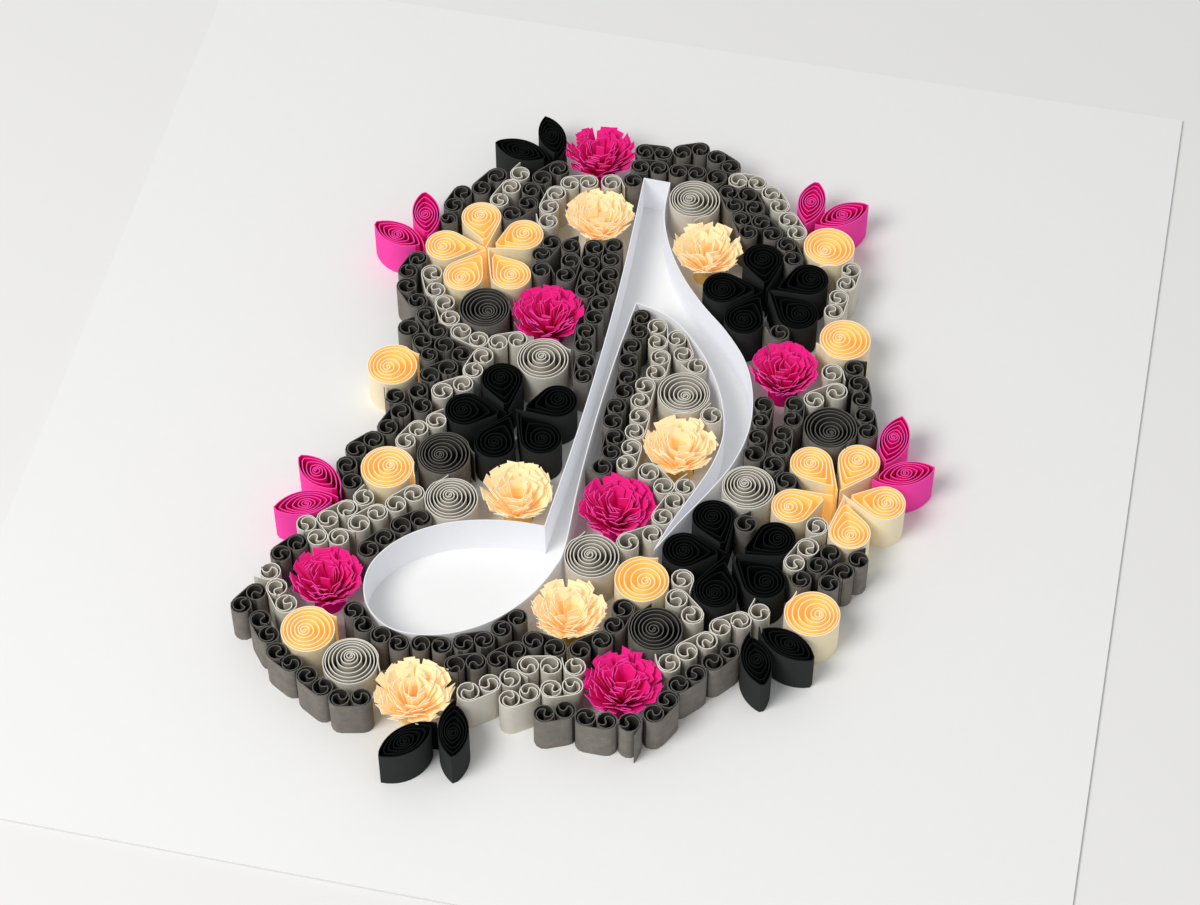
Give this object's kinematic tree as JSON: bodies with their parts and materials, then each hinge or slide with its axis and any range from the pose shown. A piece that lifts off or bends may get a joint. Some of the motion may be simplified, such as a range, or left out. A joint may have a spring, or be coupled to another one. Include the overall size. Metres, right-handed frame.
{
  "type": "quilled paper picture",
  "caption": "Quilled paper picture on a flat white card: rolled coils, teardrop flowers, leaves, fringed flowers and small scrolls packed round the open outline of an eighth note.",
  "frame": {"origin": "middle of the card's back face, on which the picture lies", "axes": "+Z out of the picture face, +Y up the picture along the note's stem"},
  "size_m": [0.24, 0.248, 0.0134],
  "materials": {
    "white_card": "smooth matt white card",
    "white_paper": "matt white paper strip",
    "magenta_paper": "matt magenta paper strip",
    "peach_paper": "matt peach paper strip",
    "black_paper": "matt black paper strip",
    "grey_paper": "matt light grey paper strip",
    "charcoal_paper": "matt charcoal paper strip"
  },
  "bodies": {
    "root": {"backing_card": "white_card", "black_leaf_pair_1": "black_paper", "black_leaf_pair_2": "black_paper", "black_leaf_pair_3": "black_paper", "black_petal_flower_1": "black_paper", "black_petal_flower_2": "black_paper", "black_petal_flower_3": "black_paper", "charcoal_coil_1": "charcoal_paper", "charcoal_coil_2": "charcoal_paper", "charcoal_coil_3": "charcoal_paper", "charcoal_coil_4": "charcoal_paper", "charcoal_scrolls_bottom": "charcoal_paper", "charcoal_scrolls_flag": "charcoal_paper", "charcoal_scrolls_head": "charcoal_paper", "charcoal_scrolls_left": "charcoal_paper", "charcoal_scrolls_right": "charcoal_paper", "charcoal_scrolls_stem": "charcoal_paper", "charcoal_scrolls_top": "charcoal_paper", "charcoal_scrolls_upper_left": "charcoal_paper", "grey_coil_1": "grey_paper", "grey_coil_2": "grey_paper", "grey_coil_3": "grey_paper", "grey_coil_4": "grey_paper", "grey_coil_5": "grey_paper", "grey_coil_6": "grey_paper", "grey_coil_7": "grey_paper", "grey_scrolls_bottom": "grey_paper", "grey_scrolls_flag": "grey_paper", "grey_scrolls_left": "grey_paper", "grey_scrolls_lower_left": "grey_paper", "grey_scrolls_lower_right": "grey_paper", "grey_scrolls_upper_left": "grey_paper", "grey_scrolls_upper_right": "grey_paper", "magenta_fringed_flower_1": "magenta_paper", "magenta_fringed_flower_2": "magenta_paper", "magenta_fringed_flower_3": "magenta_paper", "magenta_fringed_flower_4": "magenta_paper", "magenta_fringed_flower_5": "magenta_paper", "magenta_fringed_flower_6": "magenta_paper", "magenta_leaf_pair_1": "magenta_paper", "magenta_leaf_pair_2": "magenta_paper", "magenta_leaf_pair_3": "magenta_paper", "magenta_leaf_pair_4": "magenta_paper", "note_outline": "white_paper", "peach_coil_1": "peach_paper", "peach_coil_2": "peach_paper", "peach_coil_3": "peach_paper", "peach_coil_4": "peach_paper", "peach_coil_5": "peach_paper", "peach_coil_6": "peach_paper", "peach_coil_7": "peach_paper", "peach_fringed_flower_1": "peach_paper", "peach_fringed_flower_2": "peach_paper", "peach_fringed_flower_3": "peach_paper", "peach_fringed_flower_4": "peach_paper", "peach_fringed_flower_5": "peach_paper", "peach_fringed_flower_6": "peach_paper", "peach_petal_flower_1": "peach_paper", "peach_petal_flower_2": "peach_paper"}
  },
  "joints": []
}
